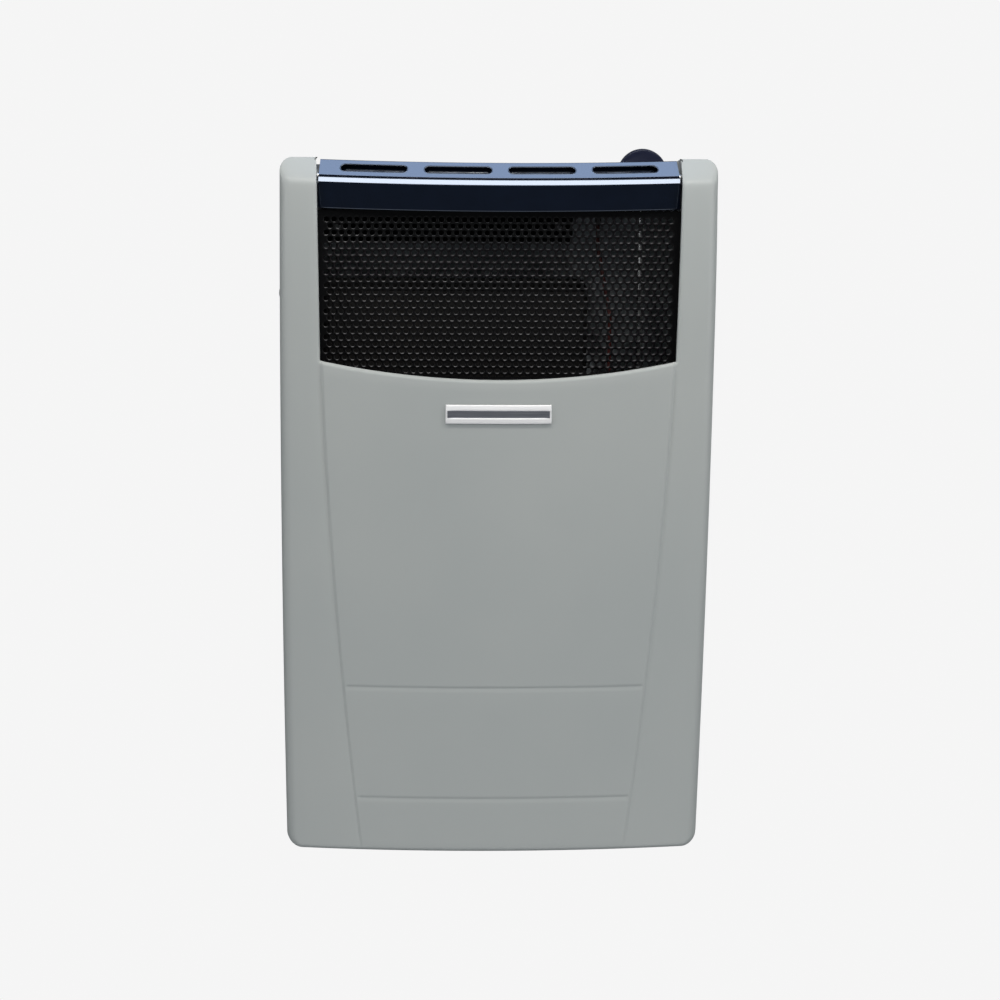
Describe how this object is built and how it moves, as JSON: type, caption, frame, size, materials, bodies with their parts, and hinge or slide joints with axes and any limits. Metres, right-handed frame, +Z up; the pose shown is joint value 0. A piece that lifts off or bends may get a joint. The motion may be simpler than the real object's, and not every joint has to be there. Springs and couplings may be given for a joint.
{
  "type": "wall gas heater",
  "caption": "Wall-hung gas heater: pressed light grey casing, dark slotted top visor, black perforated grille, half-moon control knob, with burner, valve and igniter inside.",
  "frame": {"origin": "middle of the four wall screw holes, on the wall plane", "axes": "+Y into the wall, so the front faces -Y; +Z up; +X to the right as seen from the front"},
  "size_m": [0.4038, 0.1867, 0.647],
  "materials": {
    "casing_paint": "light grey stove paint, satin",
    "visor_enamel": "dark navy enamel, glossy",
    "grille_black": "black stove paint, satin",
    "badge_metal": "satin plate with a bright rim",
    "knob_plastic": "slate blue moulded plastic",
    "galvanised_sheet": "zinc coated sheet with faint spangle",
    "heat_steel": "bare sheet with heat tint",
    "zinc_screw": "bright zinc plate",
    "brass": "turned brass",
    "copper_tube": "drawn copper tube",
    "cast_aluminium": "as cast",
    "black_plastic": "moulded",
    "white_ceramic": "glazed insulator",
    "lead_rubber": "silicone insulated lead"
  },
  "bodies": {
    "cabinet": {"front_casing": "casing_paint", "casing_screws": "zinc_screw", "badge_plate": "badge_metal", "visor": "visor_enamel", "visor_screws": "zinc_screw", "visor_spacers": "zinc_screw", "top_cover": "galvanised_sheet", "cover_screws": "zinc_screw", "grille": "grille_black", "grille_screws": "zinc_screw", "back_panel": "galvanised_sheet", "heat_shield": "galvanised_sheet", "front_heat_shield": "galvanised_sheet", "heat_chamber": "heat_steel", "chamber_brackets": "galvanised_sheet", "hot_air_deflector": "galvanised_sheet", "burner_tube": "heat_steel", "burner_cap": "heat_steel", "burner_venturi": "heat_steel", "injector": "brass", "burner_brackets": "galvanised_sheet", "gas_valve": "cast_aluminium", "rod_bush": "black_plastic", "supply_tube": "copper_tube", "inlet_fitting": "brass", "inlet_locknut": "brass", "inlet_bracket": "galvanised_sheet", "valve_bracket": "galvanised_sheet", "chassis_screws": "zinc_screw", "pilot_bracket": "galvanised_sheet", "pilot_burner": "brass", "pilot_tube": "copper_tube", "thermocouple": "copper_tube", "spark_electrode": "white_ceramic", "piezo_igniter": "black_plastic", "piezo_nut": "black_plastic", "ignition_lead": "lead_rubber", "lead_clip": "galvanised_sheet"},
    "valve_plug": {"plug_driver": "brass"},
    "knob": {"control_rod": "zinc_screw", "control_knob": "knob_plastic"},
    "igniter_button": {"piezo_button": "knob_plastic"}
  },
  "joints": [
    {"name": "knob_turn", "type": "hinge", "parent": "cabinet", "child": "valve_plug", "pos_m": [0.1365, -0.08, -0.18], "axis": [0, 0, 1], "range_deg": [0, 180]},
    {"name": "knob_press", "type": "slide", "parent": "valve_plug", "child": "knob", "axis": [0, 0, -1], "range_m": [0, 0.004], "stiffness_N_per_m": 800, "springref_m": -0.006},
    {"name": "piezo_press", "type": "slide", "parent": "cabinet", "child": "igniter_button", "axis": [0, 0, -1], "range_m": [0, 0.005], "stiffness_N_per_m": 600, "springref_m": -0.002}
  ]
}
